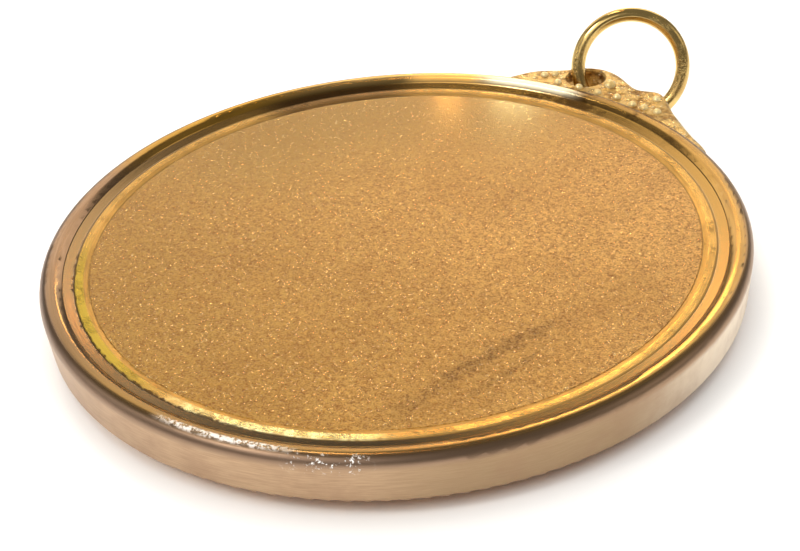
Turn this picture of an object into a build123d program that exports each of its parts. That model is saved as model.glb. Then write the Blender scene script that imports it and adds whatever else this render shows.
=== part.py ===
from build123d import *

import os
from math import cos, radians, sin

# A round hinged photo locket, lying on its front cover with its panelled back up.
# Millimetres. +Z is up, out of the panelled back. +Y points from the centre to the bail mount.
# The origin is the centre of the flat outer face of the front cover, on which the locket lies.

os.makedirs("parts", exist_ok=True)

# ---------------------------------------------------------------- driving dimensions
case_radius = 20.0  # widest radius of the case band
case_height = 2.8  # from the band's lower edge to the crest of its rolled rim
cover_drop = 0.9  # how far the front cover stands out below the band
parting_gap = 0.04  # closed gap between the cover's rim and the band
bore_radius = 19.0  # inside of the band, which the cover's lip enters
plate_seat_height = 2.83  # underside of the back panel, on the band's flange
plate_thickness = 0.35
flange_thickness = 0.4
window_radius = 15.0  # opening of the two picture frames
card_thickness = 0.15
crystal_thickness = 0.25
frame_thickness = 0.4
jump_ring_radius = 3.4  # centreline of the jump ring
jump_ring_wire = 0.92

crest_height = cover_drop + case_height
plate_top = plate_seat_height + plate_thickness
flange_underside = plate_seat_height - flange_thickness


def finish(piece, label):
    """Labels a finished piece and writes its STEP file."""
    piece.part.label = label
    export_step(piece.part, f"parts/{label}.step")


# ---------------------------------------------------------------- case band
# The band is one turned ring: a brushed wall, a rolled rim, a narrow ledge inside the rim,
# a counterbore for the back panel and its bezel, and a flange that the panel rests on.
wall_foot_radius = 19.85
foot_round = 0.2
rim_crest_radius = 19.3
rim_shoulder_height = crest_height - 0.62
rim_step_radius = 18.72
rim_step_height = crest_height - 0.24
ledge_inner_radius = 18.12
ledge_inner_height = crest_height - 0.44
counterbore_radius = 18.05
flange_bore_radius = 16.2
snap_groove_depth = 0.12
snap_groove_height = 1.38  # centre of the groove that the cover's pips click into
snap_groove_half = 0.16

with BuildPart() as case_band:
    with BuildSketch(Plane.XZ):
        with BuildLine():
            Line((bore_radius, cover_drop), (wall_foot_radius - foot_round, cover_drop))
            RadiusArc(
                (wall_foot_radius - foot_round, cover_drop),
                (wall_foot_radius, cover_drop + foot_round),
                -foot_round,
            )
            Line((wall_foot_radius, cover_drop + foot_round), (case_radius, rim_shoulder_height))
            TangentArc(
                (case_radius, rim_shoulder_height),
                (rim_crest_radius, crest_height),
                tangent=(case_radius - wall_foot_radius, rim_shoulder_height - cover_drop),
            )
            TangentArc(
                (rim_crest_radius, crest_height),
                (rim_step_radius, rim_step_height),
                tangent=(-1, 0),
            )
            Polyline(
                (rim_step_radius, rim_step_height),
                (rim_step_radius - 0.04, rim_step_height - 0.05),
                (ledge_inner_radius, ledge_inner_height),
                (counterbore_radius, ledge_inner_height - 0.07),
                (counterbore_radius, plate_seat_height),
                (flange_bore_radius, plate_seat_height),
                (flange_bore_radius, flange_underside),
                (bore_radius, flange_underside),
                (bore_radius, snap_groove_height + snap_groove_half),
                (bore_radius + snap_groove_depth, snap_groove_height),
                (bore_radius, snap_groove_height - snap_groove_half),
                (bore_radius, cover_drop),
            )
        make_face()
    revolve(axis=Axis.Z)
finish(case_band, "case_band")

# ---------------------------------------------------------------- back panel and bezel
# The grained panel is a disc with a lowered edge. The polished bezel ring is pressed into the
# counterbore on top of that edge and holds the panel down.
panel_radius = 18.0
panel_field_radius = 17.25
panel_edge_top = plate_top - 0.16
bezel_inner_radius = panel_field_radius
bezel_outer_radius = counterbore_radius
bezel_inner_top = plate_top + 0.02
bezel_outer_top = plate_top + 0.11
bezel_crown_top = plate_top + 0.09

with BuildPart() as back_panel:
    with BuildSketch(Plane.XZ):
        with BuildLine():
            Polyline(
                (0, plate_seat_height),
                (panel_radius, plate_seat_height),
                (panel_radius, panel_edge_top),
                (panel_field_radius, panel_edge_top),
                (panel_field_radius, plate_top - 0.03),
                (panel_field_radius - 0.03, plate_top),
                (0, plate_top),
                close=True,
            )
        make_face()
    revolve(axis=Axis.Z)
finish(back_panel, "back_panel")

with BuildPart() as bezel_ring:
    with BuildSketch(Plane.XZ):
        with BuildLine():
            Polyline(
                (bezel_inner_radius, panel_edge_top),
                (bezel_outer_radius, panel_edge_top),
                (bezel_outer_radius, bezel_outer_top - 0.05),
                (bezel_outer_radius - 0.06, bezel_outer_top),
            )
            ThreePointArc(
                (bezel_outer_radius - 0.06, bezel_outer_top),
                ((bezel_inner_radius + bezel_outer_radius) / 2, bezel_crown_top),
                (bezel_inner_radius + 0.05, bezel_inner_top),
            )
            Polyline(
                (bezel_inner_radius + 0.05, bezel_inner_top),
                (bezel_inner_radius, bezel_inner_top - 0.05),
                (bezel_inner_radius, panel_edge_top),
            )
        make_face()
    revolve(axis=Axis.Z)
finish(bezel_ring, "bezel_ring")


# ---------------------------------------------------------------- pictures, crystals, frames
# Each half holds a card and a crystal under a retaining ring, which has a notch for a nail.
nail_nick_radius = 0.9
card_radius = 16.0
case_card_low = plate_seat_height - card_thickness
case_crystal_low = case_card_low - crystal_thickness
case_frame_low = case_crystal_low - frame_thickness
case_frame_radius = bore_radius - 0.03


def disc(radius, low, high):
    """A flat round card or crystal between two heights."""
    with BuildPart() as piece:
        with BuildSketch(Plane.XY.offset(low)):
            Circle(radius)
        extrude(amount=high - low)
    return piece


def picture_frame(outer_radius, low, direction):
    """A retaining ring. Its window edge is rounded on the side that direction points to."""
    with BuildPart() as piece:
        with BuildSketch(Plane.XY.offset(low)):
            Circle(outer_radius)
            Circle(window_radius, mode=Mode.SUBTRACT)
        extrude(amount=frame_thickness)
        window_edges = piece.edges().filter_by(GeomType.CIRCLE).group_by(SortBy.RADIUS)[0]
        fillet(window_edges.sort_by(Axis.Z)[direction], radius=0.3 * frame_thickness)
        with BuildSketch(Plane.XY.offset(low)):
            with PolarLocations(outer_radius, 1, start_angle=-90):
                Circle(nail_nick_radius)
        extrude(amount=frame_thickness, mode=Mode.SUBTRACT)
    return piece


finish(disc(card_radius, case_card_low, plate_seat_height), "case_picture")
finish(disc(card_radius, case_crystal_low, case_card_low), "case_crystal")
finish(picture_frame(case_frame_radius, case_frame_low, 0), "case_frame")

# ---------------------------------------------------------------- front cover
# The cover is a shallow pan: a flat field, a rounded border and a rim that meets the band.
# The lip is a plain ring standing in the pan, and it enters the band when the locket closes.
cover_radius = 19.5
cover_field_radius = 17.9
cover_wall = 0.45
cover_rim_top = cover_drop - parting_gap
lip_thickness = 0.35
lip_radius = 18.9
lip_top = 1.62
nick_half_width = 2.2
nick_depth = 0.28
nick_reach = 0.45  # how far the nick runs in from the cover's edge

with BuildPart() as cover_blank:
    with BuildSketch(Plane.XZ):
        with BuildLine():
            Line((0, 0), (cover_field_radius, 0))
            TangentArc(
                (cover_field_radius, 0),
                (cover_radius, cover_rim_top - 0.1),
                tangent=(1, 0.12),
            )
            Polyline(
                (cover_radius, cover_rim_top - 0.1),
                (cover_radius, cover_rim_top),
                (0, cover_rim_top),
                (0, 0),
            )
        make_face()
    revolve(axis=Axis.Z)

with BuildPart() as cover_shell:
    add(cover_blank.part)
    with BuildSketch(Plane.XY.offset(cover_wall)):
        Circle(lip_radius)
    extrude(amount=cover_drop, mode=Mode.SUBTRACT)
    # thumbnail nick in the rim, opposite the hinge
    with BuildSketch(Plane.YZ.offset(cover_radius - nick_reach)):
        with Locations((0, cover_rim_top)):
            Ellipse(nick_half_width, nick_depth)
    extrude(amount=2 * nick_reach, mode=Mode.SUBTRACT)
finish(cover_shell, "cover_shell")

with BuildPart() as cover_lip:
    with BuildSketch(Plane.XY.offset(cover_wall)):
        Circle(lip_radius)
        Circle(lip_radius - lip_thickness, mode=Mode.SUBTRACT)
    extrude(amount=lip_top - cover_wall)
    chamfer(cover_lip.edges().filter_by(GeomType.CIRCLE).sort_by(Axis.Z)[-2:], length=0.1)
finish(cover_lip, "cover_lip")

# Three low pips on the lip click into the band's groove.
pip_radius = 0.2
pip_count = 3
pip_proud = 0.09
pip_cut_half = 0.5
with BuildPart() as snap_pips:
    with Locations((0, 0, snap_groove_height)):
        with PolarLocations(lip_radius - pip_radius + pip_proud, pip_count):
            Sphere(pip_radius)
    with BuildSketch(Plane.XY.offset(snap_groove_height - pip_cut_half)):
        Circle(lip_radius)
    extrude(amount=2 * pip_cut_half, mode=Mode.SUBTRACT)
finish(snap_pips, "snap_pips")

cover_card_low = cover_wall
cover_crystal_low = cover_card_low + card_thickness
cover_frame_low = cover_crystal_low + crystal_thickness
cover_frame_radius = lip_radius - lip_thickness - 0.03
cover_card_radius = 18.0

finish(disc(cover_card_radius, cover_card_low, cover_crystal_low), "cover_picture")
finish(disc(cover_card_radius, cover_crystal_low, cover_frame_low), "cover_crystal")
finish(picture_frame(cover_frame_radius, cover_frame_low, -1), "cover_frame")

# ---------------------------------------------------------------- hinge
hinge_x = -20.7
hinge_z = cover_drop
barrel_radius = 0.65
pin_radius = 0.3
pin_clearance = 0.04
knuckle_length = 3.0
knuckle_gap = 0.06
leaf_thickness = 0.5
pin_overhang = 0.2
hinge_plane = Plane(origin=(hinge_x, 0, hinge_z), x_dir=(1, 0, 0), z_dir=(0, 1, 0))


def knuckle(middle_y, length, bore, leaf_side, leaf_reach, keep_out):
    """One barrel with the leaf that is soldered to its shell. leaf_side is +1 above the pin."""
    section = hinge_plane.offset(middle_y - length / 2)
    with BuildPart() as piece:
        with BuildSketch(section):
            Circle(barrel_radius)
            with Locations((leaf_reach / 2, -leaf_side * (leaf_thickness / 2 + parting_gap))):
                Rectangle(leaf_reach, leaf_thickness)
        extrude(amount=length)
        with BuildSketch(section):
            Circle(bore)
        extrude(amount=length, mode=Mode.SUBTRACT)
        add(keep_out, mode=Mode.SUBTRACT)
    return piece


# The band with its inside filled in, which trims whatever is soldered to its outside.
filled_height = 2.3
with BuildPart() as case_blank:
    add(case_band.part)
    with BuildSketch(Plane.XY.offset(cover_drop)):
        Circle(bore_radius + snap_groove_depth)
    extrude(amount=filled_height)

knuckle_pitch = knuckle_length + knuckle_gap
case_leaf_reach = 1.9
cover_leaf_reach = 2.2
for name, side in (("case_knuckle_upper", 1), ("case_knuckle_lower", -1)):
    finish(
        knuckle(side * knuckle_pitch, knuckle_length, pin_radius, 1, case_leaf_reach, case_blank.part),
        name,
    )
finish(
    knuckle(0, knuckle_length, pin_radius + pin_clearance, -1, cover_leaf_reach, cover_blank.part),
    "cover_knuckle",
)

pin_length = 3 * knuckle_length + 2 * knuckle_gap + 2 * pin_overhang
with BuildPart() as hinge_pin:
    with BuildSketch(hinge_plane.offset(-pin_length / 2)):
        Circle(pin_radius)
    extrude(amount=pin_length)
    chamfer(hinge_pin.edges().filter_by(GeomType.CIRCLE), length=0.08)
finish(hinge_pin, "hinge_pin")

# ---------------------------------------------------------------- bail mount
# A cast shoulder soldered to the band. Its middle is the eye that the jump ring hangs in, with
# a scrolled lobe on each side that tapers down to the band.
eye_y = 21.58
eye_hole_radius = 1.22
mount_low = 2.0
mount_top = crest_height - 0.15
mount_inner_y = 19.3
mount_outline = [  # bearing from the bail axis in degrees, positive towards +X, and radius
    (-15.5, 19.6),
    (-12.6, 20.4),
    (-10.3, 21.2),
    (-7.6, 21.75),
    (-5.0, 22.2),
    (-2.2, 23.0),
    (1.2, 23.35),
    (4.4, 23.05),
    (7.2, 22.5),
    (9.9, 22.2),
    (12.9, 22.65),
    (15.8, 22.25),
    (19.0, 21.5),
    (22.5, 20.95),
    (26.0, 20.55),
    (29.5, 20.3),
    (33.0, 20.15),
    (36.0, 19.6),
]


def bearing(angle, radius):
    """A point measured from the bail axis, positive towards +X."""
    return (radius * sin(radians(angle)), radius * cos(radians(angle)))


outline_points = [bearing(angle, radius) for angle, radius in mount_outline]
with BuildPart() as bail_mount:
    with BuildSketch(Plane.XY.offset(mount_low)):
        with BuildLine():
            Spline(*outline_points)
            ThreePointArc(outline_points[0], (0, mount_inner_y), outline_points[-1])
        make_face()
    extrude(amount=mount_top - mount_low)
    outer_edges = bail_mount.edges().filter_by(GeomType.BSPLINE).sort_by(Axis.Z)
    fillet(outer_edges[-1], radius=0.35)
    outer_edges = bail_mount.edges().filter_by(GeomType.BSPLINE).sort_by(Axis.Z)
    fillet(outer_edges[0], radius=0.25)
    with BuildSketch(Plane.XY.offset(mount_low)):
        with Locations((0, eye_y)):
            Circle(eye_hole_radius)
    extrude(amount=crest_height, mode=Mode.SUBTRACT)
    eye_edges = bail_mount.edges().filter_by(GeomType.CIRCLE)
    eye_edges = eye_edges.filter_by(lambda edge: abs(edge.radius - eye_hole_radius) < 0.001)
    chamfer(eye_edges, length=0.12)
    add(case_blank.part, mode=Mode.SUBTRACT)
finish(bail_mount, "bail_mount")

edge_bead_radius = 0.27
edge_beads = [  # bearing and radius of the small beads: one on each lobe and a row along the band
    (-7.1, 20.75),
    (-5.5, 21.15),
    (-3.5, 20.12),
    (0.9, 20.12),
    (5.0, 20.12),
    (9.0, 20.28),
    (13.0, 20.15),
    (15.4, 20.3),
    (18.1, 20.48),
    (14.8, 21.65),
]
with BuildPart() as edge_beading:
    for angle, radius in edge_beads:
        x, y = bearing(angle, radius)
        with Locations((x, y, mount_top)):
            Sphere(edge_bead_radius, arc_size1=0, align=(Align.CENTER, Align.CENTER, Align.MIN))
finish(edge_beading, "edge_beading")

eye_bead_radius = 0.4
eye_bead_bearing = 5.2
eye_bead_reach = 21.4
with BuildPart() as eye_bead:
    x, y = bearing(eye_bead_bearing, eye_bead_reach)
    with Locations((x, y, mount_top)):
        Sphere(eye_bead_radius, arc_size1=0, align=(Align.CENTER, Align.CENTER, Align.MIN))
finish(eye_bead, "eye_bead")

# ---------------------------------------------------------------- jump ring
# The ring hangs through the eye and leans down to the table beside the locket.
ring_touch = Vector(-0.744, 21.868, 3.9)  # where the ring crosses its swing axis
ring_towards = Vector(0.85, 0.527, 0).normalized()  # from there to the ring's centre
ring_swing = Vector(-0.206, 0.332, 0.92).normalized()  # swing axis, the ring's own tangent
ring_centre = ring_touch + ring_towards * jump_ring_radius
ring_normal = ring_towards.cross(ring_swing)
with BuildPart(Plane(origin=ring_centre, z_dir=ring_normal)) as jump_ring:
    Torus(jump_ring_radius, jump_ring_wire / 2)
finish(jump_ring, "jump_ring")
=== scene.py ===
# %% [markdown]
# # A round photo locket, lying on its front cover
# The locket is a shallow turned case with a grained back panel held by a polished bezel ring,
# a cast mount with an eye, a jump ring, and a hinged front cover underneath. The shapes come
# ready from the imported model, which is loaded first and never moved. This lesson gives each
# metal its finish, sets up a table and a camera, and lights them.

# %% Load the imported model
import math

import bmesh
import bpy
from mathutils import Matrix, Vector


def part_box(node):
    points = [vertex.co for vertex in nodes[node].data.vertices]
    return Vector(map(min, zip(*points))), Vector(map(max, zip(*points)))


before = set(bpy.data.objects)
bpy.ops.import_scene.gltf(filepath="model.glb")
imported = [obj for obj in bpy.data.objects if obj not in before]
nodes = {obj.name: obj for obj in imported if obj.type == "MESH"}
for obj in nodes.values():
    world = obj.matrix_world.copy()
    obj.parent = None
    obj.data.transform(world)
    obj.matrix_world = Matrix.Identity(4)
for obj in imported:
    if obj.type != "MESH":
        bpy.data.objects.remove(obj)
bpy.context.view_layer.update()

# %% [markdown]
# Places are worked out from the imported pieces. The band gives the case's radius and the height
# of its crest, the panel gives the height of its marks, and the bezel ring gives a circle where
# grime collects. A finish is easier to judge in millimetres, so the materials use them too.

# %% Measure the pieces
MM = 0.001
band_low, band_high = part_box("case_band")
case_radius = band_high.x
crest_height = band_high.z
panel_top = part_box("back_panel")[1].z
bezel_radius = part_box("bezel_ring")[1].x
print("case radius", round(case_radius / MM, 2), "crest", round(crest_height / MM, 2), "mm")


# %% [markdown]
# A shader tree is built by naming each node's inputs. This small helper adds a node, sets its
# menus, and then sets each input to a number or links it to another node's output. Written
# once, it keeps every material below down to the decisions that matter.

# %% Helpers for shader trees
def add(tree, kind, inputs=None, **menus):
    """Adds a node, sets its menus, and sets or links its inputs."""
    made = tree.nodes.new(kind)
    for name, value in menus.items():
        setattr(made, name, value)
    for name, value in (inputs or {}).items():
        socket = made.inputs[name]
        if isinstance(value, bpy.types.NodeSocket):
            tree.links.new(value, socket)
        else:
            socket.default_value = value
    return made


def calc(tree, operation, first, second=0.0, clamp=False):
    """One step of arithmetic."""
    inputs = {0: first} if operation in ("ABSOLUTE", "SQRT") else {0: first, 1: second}
    return add(tree, "ShaderNodeMath", inputs, operation=operation, use_clamp=clamp).outputs[0]


def ease(tree, value, start, end, low=0.0, high=1.0):
    """A soft step: low before start, high after end."""
    inputs = {"Value": value, "From Min": start, "From Max": end, "To Min": low, "To Max": high}
    node = add(tree, "ShaderNodeMapRange", inputs, interpolation_type="SMOOTHSTEP")
    return node.outputs["Result"]


def blend(tree, amount, first, second, mode="MIX"):
    """Mixes two colours by an amount."""
    inputs = {0: amount, 6: first, 7: second}
    node = add(tree, "ShaderNodeMix", inputs, data_type="RGBA", blend_type=mode)
    return node.outputs[2]


def noise(tree, place, scale, detail=2.0, roughness=0.5):
    """Cloudy noise, from 0 to 1."""
    inputs = {"Vector": place, "Scale": scale, "Detail": detail, "Roughness": roughness}
    return add(tree, "ShaderNodeTexNoise", inputs).outputs["Fac"]


def colour(red, green, blue):
    """A colour as the eye names it, from 0 to 255, turned into the shader's linear light."""
    linear = []
    for part in (red, green, blue):
        part /= 255
        linear.append(part / 12.92 if part <= 0.04045 else ((part + 0.055) / 1.055) ** 2.4)
    return (*linear, 1.0)


print("a worn gold is", [round(c, 2) for c in colour(196, 152, 72)])


# %% [markdown]
# Four effects turn up on more than one metal, so each is a node group with named inputs:
# the grain of blasted or cast metal, the fine rings that a lathe or a brushing wheel leaves,
# short polishing scratches, and slow blotches of tarnish. A group keeps the effect the same
# everywhere while each material still chooses its own size and strength.

# %% Start a node group
def new_group(name, inputs, outputs):
    """An empty shader group with named sockets. Returns the tree and its two end nodes."""
    tree = bpy.data.node_groups.new(name, "ShaderNodeTree")
    for label, kind, value in inputs:
        socket = tree.interface.new_socket(label, in_out="INPUT", socket_type=kind)
        if kind == "NodeSocketFloat":
            socket.default_value = value
    for label in outputs:
        tree.interface.new_socket(label, in_out="OUTPUT", socket_type="NodeSocketFloat")
    return tree, tree.nodes.new("NodeGroupInput"), tree.nodes.new("NodeGroupOutput")


VECTOR = "NodeSocketVector"
FLOAT = "NodeSocketFloat"
print("a group takes sockets of kind", VECTOR, "and", FLOAT)


# %% [markdown]
# Blasting covers gilt with tiny dents, and here and there one facet lies just right and
# flashes. Two sizes of noise make the dents. A cell pattern picks a few cells at random for
# the flashes, because a cell has a sharp edge and noise doesn't. The materials paint these
# cells pale, which makes them painted glints.

# %% Grain group
grain, grain_in, grain_out = new_group(
    "grain",
    [("Place", VECTOR, None), ("Grains per mm", FLOAT, 8.0), ("Sparkle share", FLOAT, 0.02)],
    ["Height", "Sparkle"],
)
per_mm = grain_in.outputs["Grains per mm"]
fine = noise(grain, grain_in.outputs["Place"], per_mm, detail=3.0, roughness=0.65)
coarse = noise(grain, grain_in.outputs["Place"], calc(grain, "MULTIPLY", per_mm, 0.4), detail=1.0)
dents = calc(grain, "ADD", calc(grain, "MULTIPLY", fine, 0.7), calc(grain, "MULTIPLY", coarse, 0.3))
cells = add(
    grain,
    "ShaderNodeTexVoronoi",
    {"Vector": grain_in.outputs["Place"], "Scale": calc(grain, "MULTIPLY", per_mm, 1.5)},
)
cell_value = add(grain, "ShaderNodeSeparateColor", {"Color": cells.outputs["Color"]}).outputs[0]
threshold = calc(grain, "SUBTRACT", 1.0, grain_in.outputs["Sparkle share"])
sparkle = calc(grain, "GREATER_THAN", cell_value, threshold)
grain.links.new(dents, grain_out.inputs["Height"])
grain.links.new(sparkle, grain_out.inputs["Sparkle"])
print("grain group:", len(grain.nodes), "nodes")


# %% [markdown]
# A lathe and a brushing wheel both leave lines that run round the case. Stretching noise along
# the circumference could be done with an angle, but an angle jumps where the circle closes.
# Sampling the noise at the unit direction from the axis runs slowly round the case with no
# seam, and the height minus the radius runs quickly across the lines, on the wall and on
# the rim alike.

# %% Turned lines group
turned, turned_in, turned_out = new_group(
    "turned_lines",
    [("Place", VECTOR, None), ("Lines per mm", FLOAT, 6.0), ("Breaks", FLOAT, 6.0)],
    ["Height", "Radius", "Level"],
)
parts = add(turned, "ShaderNodeSeparateXYZ", {"Vector": turned_in.outputs["Place"]})
flat = add(turned, "ShaderNodeCombineXYZ", {"X": parts.outputs["X"], "Y": parts.outputs["Y"]})
length = add(turned, "ShaderNodeVectorMath", {0: flat.outputs[0]}, operation="LENGTH")
length = length.outputs["Value"]
unit = add(turned, "ShaderNodeVectorMath", {0: flat.outputs[0]}, operation="NORMALIZE").outputs[0]
slow_inputs = {0: unit, "Scale": turned_in.outputs["Breaks"]}
slow = add(turned, "ShaderNodeVectorMath", slow_inputs, operation="SCALE")
across = calc(turned, "SUBTRACT", parts.outputs["Z"], length)
across = calc(turned, "MULTIPLY", across, turned_in.outputs["Lines per mm"])
slow_parts = add(turned, "ShaderNodeSeparateXYZ", {"Vector": slow.outputs[0]})
line_place = add(
    turned,
    "ShaderNodeCombineXYZ",
    {"X": slow_parts.outputs["X"], "Y": slow_parts.outputs["Y"], "Z": across},
)
lines = noise(turned, line_place.outputs[0], 1.0, detail=3.0, roughness=0.6)
turned.links.new(lines, turned_out.inputs["Height"])
turned.links.new(length, turned_out.inputs["Radius"])
turned.links.new(parts.outputs["Z"], turned_out.inputs["Level"])
print("turned lines group:", len(turned.nodes), "nodes")


# %% [markdown]
# Handling leaves short fine scratches in every direction. Each layer is noise squeezed hard in
# one direction and cut to a thin crest. Two layers at different angles are enough for the eye
# to stop finding a direction.

# %% Scratches group
scratches, scratches_in, scratches_out = new_group(
    "scratches",
    [("Place", VECTOR, None), ("Scale", FLOAT, 1.0)],
    ["Mask"],
)
layers = []
for turn in (0.5, 2.1):
    aimed = add(
        scratches,
        "ShaderNodeMapping",
        {
            "Vector": scratches_in.outputs["Place"],
            "Rotation": (turn * 0.3, turn * 0.2, turn),
            "Scale": (0.25, 4.0, 4.0),
        },
    )
    streak = noise(scratches, aimed.outputs[0], scratches_in.outputs["Scale"], detail=2.0)
    crest = calc(scratches, "ABSOLUTE", calc(scratches, "SUBTRACT", streak, 0.5))
    layers.append(ease(scratches, crest, 0.0, 0.012, low=1.0, high=0.0))
either = calc(scratches, "MAXIMUM", layers[0], layers[1])
worn_here = ease(scratches, noise(scratches, scratches_in.outputs["Place"], 0.5), 0.42, 0.62)
scratches.links.new(calc(scratches, "MULTIPLY", either, worn_here), scratches_out.inputs["Mask"])
print("scratches group:", len(scratches.nodes), "nodes")


# %% [markdown]
# Plated metal dulls unevenly, in soft-edged clouds where a hand or damp air has been. A cloud is
# slow noise cut with a soft step, and the two ends of the step are inputs, so one metal can be
# nearly clean and another mostly dull.

# %% Tarnish group
tarnish, tarnish_in, tarnish_out = new_group(
    "tarnish",
    [
        ("Place", VECTOR, None),
        ("Blotches per mm", FLOAT, 0.2),
        ("Start", FLOAT, 0.45),
        ("Full", FLOAT, 0.7),
    ],
    ["Mask"],
)
blotches = tarnish_in.outputs["Blotches per mm"]
clouds = noise(tarnish, tarnish_in.outputs["Place"], blotches, 5.0, 0.6)
dulled = ease(tarnish, clouds, tarnish_in.outputs["Start"], tarnish_in.outputs["Full"])
tarnish.links.new(dulled, tarnish_out.inputs["Mask"])
print("tarnish group:", len(tarnish.nodes), "nodes")


# %% [markdown]
# Each material starts the same way: a Principled shader for metal, and the object's own
# coordinates turned into millimetres. The colour, roughness and bump are then linked in by
# the material itself.

# %% Start a metal
def metal(name, roughness=0.3):
    """A metal material. Returns its tree, its shader and the place in millimetres."""
    material = bpy.data.materials.new(name)
    material.use_nodes = True
    tree = material.node_tree
    shader = tree.nodes["Principled BSDF"]
    shader.inputs["Metallic"].default_value = 1.0
    shader.inputs["Roughness"].default_value = roughness
    spot = add(tree, "ShaderNodeTexCoord").outputs["Object"]
    place = add(tree, "ShaderNodeMapping", {"Vector": spot, "Scale": (1000, 1000, 1000)})
    return material, tree, shader, place.outputs[0]


def group(tree, used, **inputs):
    """Places a node group. Underscores in an input's name stand for spaces."""
    node = add(tree, "ShaderNodeGroup", node_tree=used)
    for name, value in inputs.items():
        socket = node.inputs[name.replace("_", " ")]
        if isinstance(value, bpy.types.NodeSocket):
            tree.links.new(value, socket)
        else:
            socket.default_value = value
    return node.outputs


def bump(tree, shader, height, depth_mm, strength=1.0):
    """Links a height, whose full range is depth_mm deep, into the shader's normal."""
    inputs = {"Height": height, "Distance": depth_mm * MM, "Strength": strength}
    node = add(tree, "ShaderNodeBump", inputs)
    tree.links.new(node.outputs["Normal"], shader.inputs["Normal"])


def facing(tree, place, bearing, start, end):
    """1 on the part of the case along a bearing, in degrees from +X, and 0 away from it."""
    turn = math.radians(bearing)
    flat = add(tree, "ShaderNodeVectorMath", {0: place, 1: (1, 1, 0)}, operation="MULTIPLY")
    unit = add(tree, "ShaderNodeVectorMath", {0: flat.outputs[0]}, operation="NORMALIZE")
    inputs = {0: unit.outputs[0], 1: (math.cos(turn), math.sin(turn), 0)}
    along = add(tree, "ShaderNodeVectorMath", inputs, operation="DOT_PRODUCT").outputs["Value"]
    return ease(tree, along, math.cos(math.radians(start)), math.cos(math.radians(end)))


def dress(names, material):
    """Gives a material to CAD nodes."""
    for name in names:
        slots = nodes[name].data.materials
        slots.clear()
        slots.append(material)
    print(material.name, "on", ", ".join(names))


# %% [markdown]
# The panel is blasted gilt under a thin coat of lacquer. Its colour drifts from an olive gold to
# a warmer orange gold across the disc, with faint clouds between. Towards the far edge it is
# given painted shade, a darker colour, and fewer specks, so it looks smoother. A finger has rubbed
# two curved marks into it, which have gone brown. A mark is a stroke along an arc: the distance
# from the arc, roughened by noise, and faded out at both ends. The lacquer is a coat on the same
# shader, because it mirrors more sharply than the dents beneath it do. The grain's sparkle cells
# are painted pale, as painted glints.

# %% Panel of blasted gilt
def stroke(tree, place, centre, radius, half_width, low_y, high_y):
    """A ragged mark along an arc, between two heights on the panel. All in millimetres."""
    middle = (*centre, panel_top / MM)
    from_centre = add(tree, "ShaderNodeVectorMath", {0: place, 1: middle}, operation="SUBTRACT")
    reach = add(tree, "ShaderNodeVectorMath", {0: from_centre.outputs[0]}, operation="LENGTH")
    off = calc(tree, "ABSOLUTE", calc(tree, "SUBTRACT", reach.outputs["Value"], radius))
    ragged = calc(tree, "SUBTRACT", noise(tree, place, 1.1, 4.0, 0.7), 0.5)
    ragged = calc(tree, "MULTIPLY", ragged, 4.2)
    off = calc(tree, "ADD", off, calc(tree, "MULTIPLY", ragged, half_width))
    inside = ease(tree, off, half_width * 0.35, half_width * 1.1, low=1.0, high=0.0)
    y = add(tree, "ShaderNodeSeparateXYZ", {"Vector": place}).outputs["Y"]
    entering = ease(tree, y, low_y, low_y + 4.0, low=0.0, high=0.8)
    darkest = ease(tree, y, low_y + 5.0, low_y + 8.0, low=0.7, high=1.0)
    leaving = ease(tree, y, high_y - 2.5, high_y, low=1.0, high=0.0)
    along = calc(tree, "MULTIPLY", calc(tree, "MULTIPLY", entering, darkest), leaving)
    return calc(tree, "MULTIPLY", inside, along)


material, tree, shader, place = metal("blasted_gilt")
blasted = group(tree, grain, Place=place, Grains_per_mm=10.0, Sparkle_share=0.03)
across_panel = {0: place, 1: (0.042, 0.036, 0.0)}
drift = add(tree, "ShaderNodeVectorMath", across_panel, operation="DOT_PRODUCT")
drift = ease(tree, drift.outputs["Value"], -0.9, 0.9)
base = blend(tree, drift, colour(204, 160, 74), colour(242, 190, 106))
far_side = facing(tree, place, 129, 70, 20)
far_edge = add(tree, "ShaderNodeVectorMath", {0: place}, operation="LENGTH").outputs["Value"]
painted_far_shade = calc(tree, "MULTIPLY", far_side, ease(tree, far_edge, 4.0, 16.0, 0.0, 0.7))
# painted shade: the panel is painted darker towards its far edge
base = blend(tree, painted_far_shade, base, colour(158, 126, 56))
clouds = group(tree, tarnish, Place=place, Blotches_per_mm=0.12, Start=0.4, Full=0.75)["Mask"]
base = blend(tree, calc(tree, "MULTIPLY", clouds, 0.45), base, colour(184, 138, 54))
smooth_far = calc(tree, "MULTIPLY", painted_far_shade, 0.6)
speck = calc(tree, "ADD", ease(tree, blasted["Height"], 0.32, 0.62), smooth_far, clamp=True)
base = blend(tree, speck, colour(150, 98, 32), base)
# painted glints: the grain's sparkle cells are painted pale
base = blend(tree, calc(tree, "MULTIPLY", blasted["Sparkle"], 0.6), base, colour(255, 236, 176))
long_mark = stroke(tree, place, (42.7, -15.7), 33.1, 0.66, -15.5, -1.4)
short_mark = stroke(tree, place, (-10.0, -3.0), 22.9, 0.26, -12.5, -4.0)
marks = calc(tree, "MAXIMUM", long_mark, short_mark)
in_hollows = ease(tree, blasted["Height"], 0.35, 0.55, low=1.0, high=0.4)
marks = calc(tree, "MULTIPLY", marks, in_hollows)
base = blend(tree, calc(tree, "MULTIPLY", marks, 0.85), base, colour(112, 76, 28))
tree.links.new(base, shader.inputs["Base Color"])
rough = calc(tree, "ADD", 0.38, calc(tree, "MULTIPLY", marks, 0.2))
rough = calc(tree, "SUBTRACT", rough, calc(tree, "MULTIPLY", blasted["Sparkle"], 0.2))
tree.links.new(rough, shader.inputs["Roughness"])
shader.inputs["Coat Weight"].default_value = 0.3
shader.inputs["Coat Roughness"].default_value = 0.09
bump(tree, shader, blasted["Height"], 0.07)
dress(["back_panel"], material)
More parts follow.
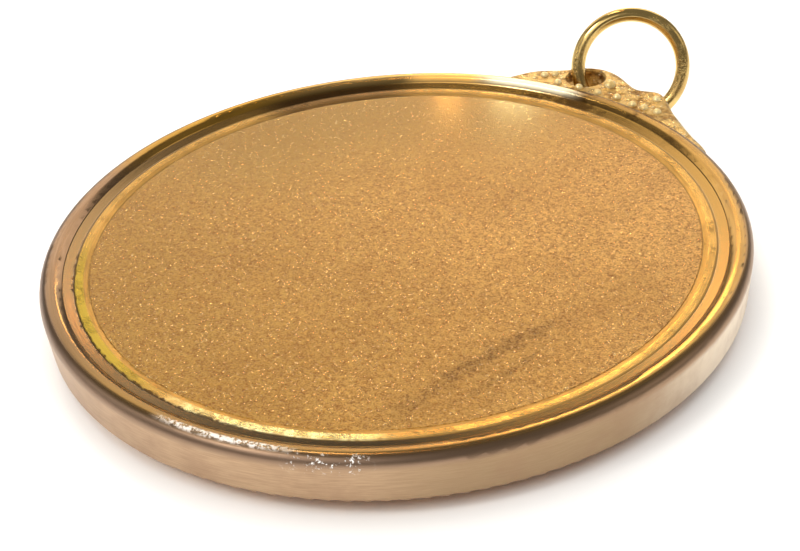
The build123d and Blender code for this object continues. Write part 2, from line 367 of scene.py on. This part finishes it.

# %% [markdown]
# The band is one turned piece with three finishes. A brushing wheel went round its wall, the
# rolled rim was polished and still shows the lathe, and the narrow ledge inside the rim holds
# grime against the bezel and is painted darker on one side, a painted reflection. The radius and
# the height tell the shader which part it is on, and a bearing round the case tells it which
# side. The wall comes first: it is painted paler on one side and greyer on another, as painted
# light and shade, and it is dulled in blotches.

# %% Wall of the band
material, tree, shader, place = metal("brushed_rose_gold")
lathe = group(tree, turned, Place=place, Lines_per_mm=7.0, Breaks=4.0)
radius = lathe["Radius"]
level = lathe["Level"]
crest_mm = crest_height / MM
crest_radius = 19.1
ledge_radius = 18.7
seam_radius = 18.12
brush = group(tree, turned, Place=place, Lines_per_mm=16.0, Breaks=16.0)["Height"]
# painted light and shade: the wall is painted pale on one side and grey on another
painted_sheen_side = facing(tree, place, 24, 46, 8)
painted_shade_side = facing(tree, place, 334, 36, 12)
wall = blend(tree, ease(tree, brush, 0.3, 0.7), colour(176, 146, 116), colour(194, 164, 132))
wall = blend(tree, calc(tree, "MULTIPLY", painted_shade_side, 0.7), wall, colour(152, 128, 96))
wall = blend(tree, calc(tree, "MULTIPLY", painted_sheen_side, 0.9), wall, colour(238, 224, 202))
dull = group(tree, tarnish, Place=place, Blotches_per_mm=0.35, Start=0.42, Full=0.72)["Mask"]
wall = blend(tree, calc(tree, "MULTIPLY", dull, 0.45), wall, colour(156, 124, 98))
print("band: crest", round(crest_mm, 2), "mm up, at radius", crest_radius, "mm")

# %% [markdown]
# The rim is a rolled crest of gilt. Its colour goes from a pinkish gold to a clean yellow, with a
# greyer shoulder where it turns down to the wall. This is partly plating worn through where it is
# held and partly painted reflection. It also has a dark side and a bright side, which are painted
# reflection and shade, standing in for what a room would mirror. Each tone is laid over the last
# by its own mask.

# %% Rim and ledge of the band
# partly worn plating, partly painted reflection: the pinkish and yellow sides of the rim
pinkish = facing(tree, place, 212, 52, 20)
rim = blend(tree, pinkish, colour(190, 148, 80), colour(166, 134, 104))
gold_side = facing(tree, place, 166, 26, 8)
rim = blend(tree, calc(tree, "MULTIPLY", gold_side, 0.7), rim, colour(222, 170, 62))
rim = blend(tree, ease(tree, lathe["Height"], 0.35, 0.65, 0.0, 0.3), rim, colour(112, 80, 42))
# painted reflection and shade: a dark side and a bright side of the rim
painted_dark_side = facing(tree, place, 272, 58, 30)
rim = blend(tree, calc(tree, "MULTIPLY", painted_dark_side, 0.6), rim, colour(118, 92, 54))
painted_bright_side = facing(tree, place, 122, 34, 8)
rim = blend(tree, calc(tree, "MULTIPLY", painted_bright_side, 0.6), rim, colour(240, 202, 128))
# the greyer shoulder is partly a painted reflection
shoulder = ease(tree, radius, case_radius / MM - 0.6, case_radius / MM - 0.15)
rim = blend(tree, calc(tree, "MULTIPLY", shoulder, 0.8), rim, colour(150, 126, 110))
ledge = ease(tree, radius, ledge_radius - 0.04, ledge_radius + 0.04, low=1.0, high=0.0)
# painted reflection: the ledge is painted darker on one side and greyer on another
ledge_tone = blend(tree, painted_dark_side, colour(180, 140, 74), colour(104, 82, 44))
greyed = calc(tree, "MULTIPLY", facing(tree, place, 205, 50, 20), 0.7)
ledge_tone = blend(tree, greyed, ledge_tone, colour(140, 116, 86))
rim = blend(tree, ledge, rim, ledge_tone)
print("ledge inside radius", ledge_radius, "mm")

# %% [markdown]
# The rim's far side shows dark streaks, a dark step below the crest, an amber spot and a pale
# length. These are painted reflections and painted shade: on a real rim much of this would be the
# room mirrored in the metal. Here it is painted into the colour at fixed bearings, because these
# soft lights alone don't make it, so it stays on the metal when the locket turns. It is laid on
# last, over the plating.

# %% Painted reflections and shade on the far rim
# painted reflections and shade on the far rim, set at fixed bearings
painted_dark_streaks = group(tree, tarnish, Place=place, Blotches_per_mm=0.5, Start=0.5, Full=0.62)["Mask"]
painted_dark_streaks = calc(tree, "MULTIPLY", painted_dark_streaks, facing(tree, place, 84, 26, 10))
rim = blend(tree, calc(tree, "MULTIPLY", painted_dark_streaks, 0.8), rim, colour(104, 70, 26))
in_step = ease(tree, radius, 18.5, 19.0, low=1.0, high=0.0)
painted_dark_step = calc(tree, "MULTIPLY", facing(tree, place, 138, 20, 8), in_step)
rim = blend(tree, calc(tree, "MULTIPLY", painted_dark_step, 0.85), rim, colour(64, 38, 16))
from_crest = calc(tree, "ABSOLUTE", calc(tree, "SUBTRACT", radius, crest_radius))
on_crest = ease(tree, from_crest, 0.15, 0.5, low=1.0, high=0.0)
painted_amber_highlight = calc(tree, "MULTIPLY", on_crest, facing(tree, place, 115, 10, 3))
rim = blend(tree, calc(tree, "MULTIPLY", painted_amber_highlight, 0.8), rim, colour(255, 190, 96))
painted_far_highlight = calc(tree, "MULTIPLY", on_crest, facing(tree, place, 98, 13, 4))
rim = blend(tree, calc(tree, "MULTIPLY", painted_far_highlight, 0.9), rim, colour(255, 246, 214))
on_wall = ease(tree, level, crest_mm - 0.8, crest_mm - 0.4, low=1.0, high=0.0)
base = blend(tree, on_wall, rim, wall)
print("wall ends", round(crest_mm - 0.4, 2), "mm up")

# %% [markdown]
# Grime packs into the seam beside the bezel, most on one side, and the wall is made darker along
# its foot. On the near shoulder there is a bright line, which is a painted highlight, and small
# bright chips, which are partly worn plating and partly painted glints. Both are cut from one
# noise, with a higher limit for the chips, because the chips are rarer than the line.

# %% Grime, a darker foot, chips and a painted highlight on the band
packed_side = facing(tree, place, 249, 48, 22)
ragged = calc(tree, "SUBTRACT", noise(tree, place, 2.6, 5.0, 0.75), 0.5)
reach = calc(tree, "ADD", 0.12, calc(tree, "MULTIPLY", packed_side, 0.85))
edge = calc(tree, "ADD", radius, calc(tree, "MULTIPLY", ragged, reach))
seam = ease(tree, edge, seam_radius - 0.05, seam_radius + 0.04, low=1.0, high=0.0)
seam = calc(tree, "MULTIPLY", seam, ease(tree, packed_side, 0.0, 1.0, 0.2, 0.9))
# the wall is made darker along its foot
foot_mm = band_low.z / MM
foot = ease(tree, level, foot_mm + 0.02, foot_mm + 0.14, low=0.4, high=0.0)
grime_and_dark_edges = calc(tree, "MAXIMUM", seam, foot)
base = blend(tree, grime_and_dark_edges, base, colour(74, 48, 22))
# painted highlight: a bright line on the near shoulder; the chips are partly painted glints
from_line = calc(tree, "ABSOLUTE", calc(tree, "SUBTRACT", radius, crest_radius + 0.38))
painted_highlight_line = ease(tree, from_line, 0.08, 0.26, low=1.0, high=0.0)
painted_highlight_line = calc(tree, "MULTIPLY", painted_highlight_line, facing(tree, place, 281, 13, 5))
flecks = noise(tree, place, 4.0, 3.0, 0.75)
painted_highlight_flecked = calc(tree, "MULTIPLY", painted_highlight_line, ease(tree, flecks, 0.42, 0.56, low=0.1, high=0.8))
near_crest = ease(tree, level, crest_mm - 1.1, crest_mm - 0.5)
chip_side = calc(tree, "MULTIPLY", near_crest, shoulder)
chip_side = calc(tree, "MULTIPLY", facing(tree, place, 297, 7, 3), chip_side)
chips_and_glints = calc(tree, "MULTIPLY", chip_side, ease(tree, flecks, 0.59, 0.62))
wear_and_highlight = calc(tree, "MAXIMUM", painted_highlight_flecked, chips_and_glints)
base = blend(tree, wear_and_highlight, base, colour(255, 250, 244))
tree.links.new(base, shader.inputs["Base Color"])
print("grime seam at radius", seam_radius, "mm")

# %% [markdown]
# The rest of the shader follows from the same masks. Worn places, the painted highlight line and
# grime are rougher, the wall shows its brushing in the bump, and the chips are dented. The seam
# holds dirt, so it is less metallic. The worn places and the painted highlights are still metal,
# but they are made less metallic too, so that they catch the light from above, which reflections
# don't show.

# %% Surface of the band
groove = ease(tree, radius, seam_radius, seam_radius + 0.04, low=1.0, high=0.0)
groove_share = calc(tree, "MULTIPLY", groove, 0.7)
dull_share = calc(tree, "MAXIMUM", calc(tree, "MULTIPLY", wear_and_highlight, 0.8), groove_share)
# the painted highlights on the far rim are made less metallic too
painted_highlight_places = calc(tree, "MAXIMUM", painted_far_highlight, calc(tree, "MULTIPLY", painted_amber_highlight, 0.8))
dull_share = calc(tree, "MAXIMUM", dull_share, calc(tree, "MULTIPLY", painted_highlight_places, 0.7))
tree.links.new(calc(tree, "SUBTRACT", 1.0, dull_share), shader.inputs["Metallic"])
rough = calc(tree, "ADD", 0.2, calc(tree, "MULTIPLY", shoulder, 0.2))
rough = calc(tree, "ADD", rough, calc(tree, "MULTIPLY", grime_and_dark_edges, 0.3))
rough = calc(tree, "ADD", rough, calc(tree, "MULTIPLY", wear_and_highlight, 0.3))
tree.links.new(rough, shader.inputs["Roughness"])
relief = calc(tree, "MULTIPLY", brush, calc(tree, "MULTIPLY", on_wall, 0.4))
relief = calc(tree, "ADD", relief, calc(tree, "MULTIPLY", lathe["Height"], 0.3))
dents = group(tree, grain, Place=place, Grains_per_mm=4.0, Sparkle_share=0.0)["Height"]
relief = calc(tree, "ADD", relief, calc(tree, "MULTIPLY", dents, calc(tree, "MULTIPLY", wear_and_highlight, 2.0)))
bump(tree, shader, relief, 0.014)
dress(["case_band"], material)

# %% [markdown]
# The bezel is a ring of yellower gilt, pressed over the panel's edge and polished. Its outer
# half is a little shinier. Its yellower side and the glints on its near side are painted
# reflection and painted highlight, and the dark on its far side is painted shade, set into the
# colour like those on the rim. The same ragged grime as on the band reaches over it, so the dirt
# crosses the seam as real dirt does.

# %% Bezel of polished yellow gilt
material, tree, shader, place = metal("polished_yellow_gilt")
lathe = group(tree, turned, Place=place, Lines_per_mm=10.0, Breaks=8.0)
radius = lathe["Radius"]
base = blend(tree, ease(tree, lathe["Height"], 0.3, 0.7), colour(178, 138, 70), colour(204, 158, 84))
outer_half = ease(tree, radius, 17.5, 17.62)
# painted reflection: one side of the bezel's outer half is painted yellower
yellow_side = calc(tree, "MULTIPLY", facing(tree, place, 238, 30, 12), outer_half)
base = blend(tree, calc(tree, "MULTIPLY", yellow_side, 0.75), base, colour(176, 154, 40))
# painted highlight: glints on the bezel's near side
painted_bright_side = facing(tree, place, 286, 22, 8)
painted_glints = ease(tree, noise(tree, place, 1.6, 3.0, 0.7), 0.4, 0.6, low=0.3, high=1.0)
painted_glints = calc(tree, "MULTIPLY", painted_glints, outer_half)
base = blend(tree, calc(tree, "MULTIPLY", painted_bright_side, painted_glints), base, colour(255, 240, 170))
# painted shade: the bezel's far side is painted dark
painted_dark_far_side = facing(tree, place, 138, 20, 8)
base = blend(tree, calc(tree, "MULTIPLY", painted_dark_far_side, 0.75), base, colour(78, 50, 22))
nicks = group(tree, scratches, Place=place, Scale=2.2)["Mask"]
packed_side = facing(tree, place, 249, 48, 22)
ragged = calc(tree, "SUBTRACT", noise(tree, place, 2.6, 5.0, 0.75), 0.5)
reach = calc(tree, "ADD", 0.12, calc(tree, "MULTIPLY", packed_side, 0.6))
edge = calc(tree, "ADD", radius, calc(tree, "MULTIPLY", ragged, reach))
outer_grime = ease(tree, edge, bezel_radius / MM - 0.08, bezel_radius / MM)
outer_grime = calc(tree, "MULTIPLY", outer_grime, ease(tree, packed_side, 0.0, 1.0, 0.2, 0.9))
panel_edge = 17.25
inner_grime = ease(tree, edge, panel_edge + 0.01, panel_edge + 0.09, low=0.3, high=0.0)
grime_and_dark_edges = calc(tree, "MAXIMUM", outer_grime, inner_grime)
base = blend(tree, grime_and_dark_edges, base, colour(74, 46, 16))
tree.links.new(base, shader.inputs["Base Color"])
inner_groove = ease(tree, radius, panel_edge + 0.03, panel_edge + 0.06, low=1.0, high=0.0)
groove = calc(tree, "MAXIMUM", ease(tree, radius, 17.97, 18.0), inner_groove)
tree.links.new(ease(tree, groove, 0.0, 1.0, low=1.0, high=0.3), shader.inputs["Metallic"])
rough = calc(tree, "ADD", 0.36, calc(tree, "MULTIPLY", grime_and_dark_edges, 0.3))
rough = calc(tree, "SUBTRACT", rough, calc(tree, "MULTIPLY", outer_half, 0.12))
rough = calc(tree, "ADD", rough, calc(tree, "MULTIPLY", nicks, 0.15))
tree.links.new(rough, shader.inputs["Roughness"])
burnished = noise(tree, place, 5.0, 2.0, 0.6)
burnished = calc(tree, "MULTIPLY", facing(tree, place, 287, 16, 8), burnished)
relief = calc(tree, "SUBTRACT", calc(tree, "MULTIPLY", lathe["Height"], 0.6), nicks)
relief = calc(tree, "ADD", relief, calc(tree, "MULTIPLY", burnished, 5.0))
bump(tree, shader, relief, 0.01)
dress(["bezel_ring"], material)

# %% [markdown]
# The mount was cast and never polished all over. It keeps a lumpy, sandy skin that is dark in
# the hollows. Its beads and high spots have been rubbed bright; the beads' paler gilt is also
# partly a painted highlight. The lumps and the sand are two sizes of grain, and the depth of the
# lump sets how dark the gilt is. The bright sand grains are painted glints. The beads are made
# only half metallic, so that they catch the light from above, which reflections don't show.

# %% Mount of cast gilt
def cast_gilt(name, light, dark, roughness, depth_mm, sparkle_share, metallic):
    """Cast gilt with a sandy skin: light on the lumps and dark between them."""
    material, tree, shader, place = metal(name)
    lumps = noise(tree, place, 1.6, 2.0, 0.6)
    sand = group(tree, grain, Place=place, Grains_per_mm=6.0, Sparkle_share=sparkle_share)
    height = calc(tree, "MULTIPLY", lumps, 2.5)
    height = calc(tree, "ADD", height, calc(tree, "MULTIPLY", sand["Height"], 0.5))
    base = blend(tree, ease(tree, height, 1.15, 1.75), dark, light)
    # painted glints: the sand's sparkle cells are painted pale
    base = blend(tree, calc(tree, "MULTIPLY", sand["Sparkle"], 0.7), base, colour(255, 240, 200))
    tree.links.new(base, shader.inputs["Base Color"])
    rough = calc(tree, "SUBTRACT", roughness, calc(tree, "MULTIPLY", sand["Sparkle"], 0.15))
    tree.links.new(rough, shader.inputs["Roughness"])
    bump(tree, shader, height, depth_mm)
    shader.inputs["Metallic"].default_value = metallic
    return material


dress(
    ["bail_mount"],
    cast_gilt(
        "cast_gilt",
        light=colour(222, 186, 118),
        dark=colour(166, 126, 66),
        roughness=0.36,
        depth_mm=0.07,
        sparkle_share=0.05,
        metallic=0.92,
    ),
)
# the beads' paler gilt is partly rubbed bright, partly a painted highlight
dress(
    ["edge_beading", "eye_bead"],
    cast_gilt(
        "bead_gilt",
        light=colour(255, 230, 168),
        dark=colour(236, 200, 128),
        roughness=0.3,
        depth_mm=0.01,
        sparkle_share=0.1,
        metallic=0.5,
    ),
)


# %% [markdown]
# The other metals are handled smooth metal: a drawn or stamped piece with fine scratches and a
# slow drift of tarnish. One function makes them all, with each piece's own colours.

# %% Smooth metals
def handled_metal(name, bright, dull, roughness, scratch_scale=1.5, blotches=0.3):
    """A smooth metal with slow tarnish and fine handling scratches."""
    material, tree, shader, place = metal(name)
    drift = group(tree, tarnish, Place=place, Blotches_per_mm=blotches, Start=0.35, Full=0.75)["Mask"]
    marks = group(tree, scratches, Place=place, Scale=scratch_scale)["Mask"]
    base = blend(tree, drift, bright, dull)
    base = blend(tree, calc(tree, "MULTIPLY", marks, 0.35), base, bright)
    tree.links.new(base, shader.inputs["Base Color"])
    rough = calc(tree, "ADD", roughness, calc(tree, "MULTIPLY", drift, 0.12))
    rough = calc(tree, "ADD", rough, calc(tree, "MULTIPLY", marks, 0.1))
    tree.links.new(rough, shader.inputs["Roughness"])
    bump(tree, shader, marks, -0.004)
    return material


dress(
    ["jump_ring"],
    handled_metal("drawn_gilt_wire", colour(236, 204, 130), colour(190, 156, 96), 0.16, 2.0),
)
dress(
    ["case_knuckle_upper", "case_knuckle_lower", "cover_knuckle"],
    handled_metal("hinge_gilt", colour(206, 160, 116), colour(128, 92, 62), 0.3),
)
dress(
    ["hinge_pin"],
    handled_metal("drawn_steel", colour(190, 190, 192), colour(130, 126, 122), 0.28),
)
dress(
    ["cover_shell"],
    handled_metal("polished_rose_gold", colour(226, 178, 130), colour(186, 134, 90), 0.2, 0.8, 0.08),
)
dress(
    ["cover_lip", "snap_pips"],
    handled_metal("turned_gilt", colour(228, 184, 104), colour(170, 124, 62), 0.26),
)
dress(
    ["case_frame", "cover_frame"],
    handled_metal("frame_gilt", colour(242, 204, 122), colour(206, 160, 84), 0.2),
)

# %% [markdown]
# Inside, each half holds a card under a clear crystal. The card is matt paper, so it takes no
# metal at all: only a faint fibre in its colour and bump, and a little foxing.

# %% Card
material, tree, shader, place = metal("photo_card")
shader.inputs["Metallic"].default_value = 0.0
fibre = noise(tree, place, 5.0, 6.0, 0.7)
foxing = group(tree, tarnish, Place=place, Blotches_per_mm=0.35, Start=0.6, Full=0.8)["Mask"]
base = blend(tree, ease(tree, fibre, 0.3, 0.7), colour(222, 212, 192), colour(236, 228, 210))
base = blend(tree, calc(tree, "MULTIPLY", foxing, 0.4), base, colour(196, 168, 128))
tree.links.new(base, shader.inputs["Base Color"])
tree.links.new(ease(tree, fibre, 0.2, 0.8, 0.75, 0.9), shader.inputs["Roughness"])
bump(tree, shader, fibre, 0.01)
dress(["case_picture", "cover_picture"], material)

# %% [markdown]
# The crystal is a thin clear sheet laid straight on its card. It is made mostly see-through,
# without bending the light, so the card under it is lit as it would be in the hand. In the
# case, the crystal's inner face takes the colour of the card it lies on, because a renderer
# that finds two faces in one place shows either one. The crystals are a little rougher where
# they have been wiped.

# %% Crystal
material, tree, shader, place = metal("clear_crystal")
shader.inputs["Metallic"].default_value = 0.0
shader.inputs["IOR"].default_value = 1.49
level = add(tree, "ShaderNodeSeparateXYZ", {"Vector": place}).outputs["Z"]
card_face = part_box("case_picture")[0].z / MM
gap = calc(tree, "ABSOLUTE", calc(tree, "SUBTRACT", level, card_face))
touching = calc(tree, "LESS_THAN", gap, 0.02)
base = blend(tree, touching, colour(226, 228, 224), colour(230, 220, 202))
tree.links.new(base, shader.inputs["Base Color"])
tree.links.new(ease(tree, touching, 0.0, 1.0, 0.14, 1.0), shader.inputs["Alpha"])
wiped = group(tree, scratches, Place=place, Scale=0.6)["Mask"]
tree.links.new(ease(tree, wiped, 0.0, 1.0, 0.02, 0.12), shader.inputs["Roughness"])
dress(["case_crystal", "cover_crystal"], material)

# %% [markdown]
# The table is a plain pale sheet, wide enough that its edge never shows. It is stage, not part
# of the locket.

# %% Table
table_half_width = 3.0
table_mesh = bpy.data.meshes.new("table")
sheet = bmesh.new()
bmesh.ops.create_grid(sheet, x_segments=1, y_segments=1, size=table_half_width)
sheet.to_mesh(table_mesh)
sheet.free()
table = bpy.data.objects.new("table", table_mesh)
bpy.context.scene.collection.objects.link(table)
pale = bpy.data.materials.new("pale_table")
pale.use_nodes = True
pale_shader = pale.node_tree.nodes["Principled BSDF"]
pale_shader.inputs["Base Color"].default_value = colour(244, 243, 241)
pale_shader.inputs["Roughness"].default_value = 0.9
table_mesh.materials.append(pale)
print("table", 2 * table_half_width, "m wide")

# %% [markdown]
# The camera looks down at the locket from beyond its lower right, with a long lens held close,
# and tipped a little. It is placed by a bearing, a height angle and a distance from the middle
# of the panel, all measured in case radii, so it would follow the locket if that changed size.

# %% Camera
view_bearing = math.radians(38.8)
view_height = math.radians(32.0)
view_distance = 4.421 * case_radius
view_roll = math.radians(5.07)
middle = Vector((0, 0, crest_height - 0.3 * MM))
away = Vector((math.sin(view_bearing), -math.cos(view_bearing), 0))
sideways = Vector((math.cos(view_bearing), math.sin(view_bearing), 0))
to_camera = away * math.cos(view_height) + Vector((0, 0, math.sin(view_height)))
upwards = to_camera.cross(sideways)
aim_right = 0.0019
aim_down = 0.0275
aim = middle + sideways * aim_right * view_distance - upwards * aim_down * view_distance

camera_data = bpy.data.cameras.new("camera")
camera_data.lens = 70.1
camera_data.sensor_width = 36.0
camera_data.clip_start = 0.005  # the locket is closer than Blender's own near limit
camera = bpy.data.objects.new("camera", camera_data)
bpy.context.scene.collection.objects.link(camera)
camera.location = middle + to_camera * view_distance
turn = (aim - camera.location).to_track_quat("-Z", "Y")
camera.rotation_euler = (turn.to_matrix() @ Matrix.Rotation(-view_roll, 3, "Z")).to_euler()
bpy.context.scene.camera = camera
print("camera at", [round(c, 4) for c in camera.location])


# %% [markdown]
# Metal shows what it reflects, so the lights are placed where the metal looks. The panel faces
# up and mirrors what stands behind the locket, which is one large warm softbox. The table is
# lit from above by a light that the metal doesn't see, so that the rounded shoulder of the
# rim keeps a dark line. Two narrow strips give the lacquer its thin bright streaks, and a small
# window and a lamp, high up behind, give the far rim its two highlights. A softbox with an edge
# makes a crisp highlight, which a bare sky can't. The room itself stays dim.

# %% Lights
def softbox(name, direction, height, distance, size, power, tint, in_reflections=True):
    """An area light aimed at the locket. Direction is flat, height is an angle in degrees."""
    rise = math.radians(height)
    data = bpy.data.lights.new(name, "AREA")
    data.shape = "RECTANGLE"
    data.size = size[0]
    data.size_y = size[1]
    data.energy = power
    data.color = tint
    light = bpy.data.objects.new(name, data)
    bpy.context.scene.collection.objects.link(light)
    light.location = (direction * math.cos(rise) + Vector((0, 0, math.sin(rise)))) * distance
    light.rotation_euler = (-light.location).to_track_quat("-Z", "Y").to_euler()
    light.visible_glossy = in_reflections
    print(name, "light,", power, "W")


def around(degrees):
    """A flat direction: 0 is the camera's right, 90 is behind the locket, 270 is the camera."""
    turn = math.radians(degrees)
    return sideways * math.cos(turn) - away * math.sin(turn)


white = (1.0, 1.0, 1.0)
softbox("behind", around(88), 30, 0.7, (1.0, 0.36), 1.62, (1.0, 0.93, 0.84))
softbox("overhead", around(90), 88, 0.9, (1.8, 1.8), 19.0, white, in_reflections=False)
softbox("left_fill", around(170), 24, 0.8, (0.4, 0.4), 0.4, (1.0, 0.96, 0.9))
softbox("front_fill", around(235), 40, 0.8, (0.5, 0.4), 0.8, (1.0, 0.97, 0.95))
softbox("left_lamp", around(205), 50, 0.7, (0.16, 0.16), 1.0, (1.0, 0.97, 0.92))
softbox("right_fill", around(350), 30, 0.8, (0.4, 0.3), 0.3, (1.0, 0.93, 0.82))
softbox("amber_strip", around(86.9), 24.5, 0.6, (0.011, 0.06), 0.06, (1.0, 0.42, 0.08))
softbox("pale_strip", around(83.8), 24.5, 0.6, (0.018, 0.06), 0.08, (1.0, 0.86, 0.38))
softbox("window", around(111.5), 61, 0.7, (0.08, 0.07), 0.3, (1.0, 0.95, 0.8))
softbox("lamp", around(103.5), 67, 0.7, (0.04, 0.05), 0.12, (1.0, 0.55, 0.18))

world = bpy.data.worlds.new("room")
world.use_nodes = True
background = world.node_tree.nodes["Background"]
background.inputs["Color"].default_value = (0.9, 0.86, 0.8, 1.0)
background.inputs["Strength"].default_value = 0.2
bpy.context.scene.world = world
bpy.context.scene.view_settings.view_transform = "Standard"
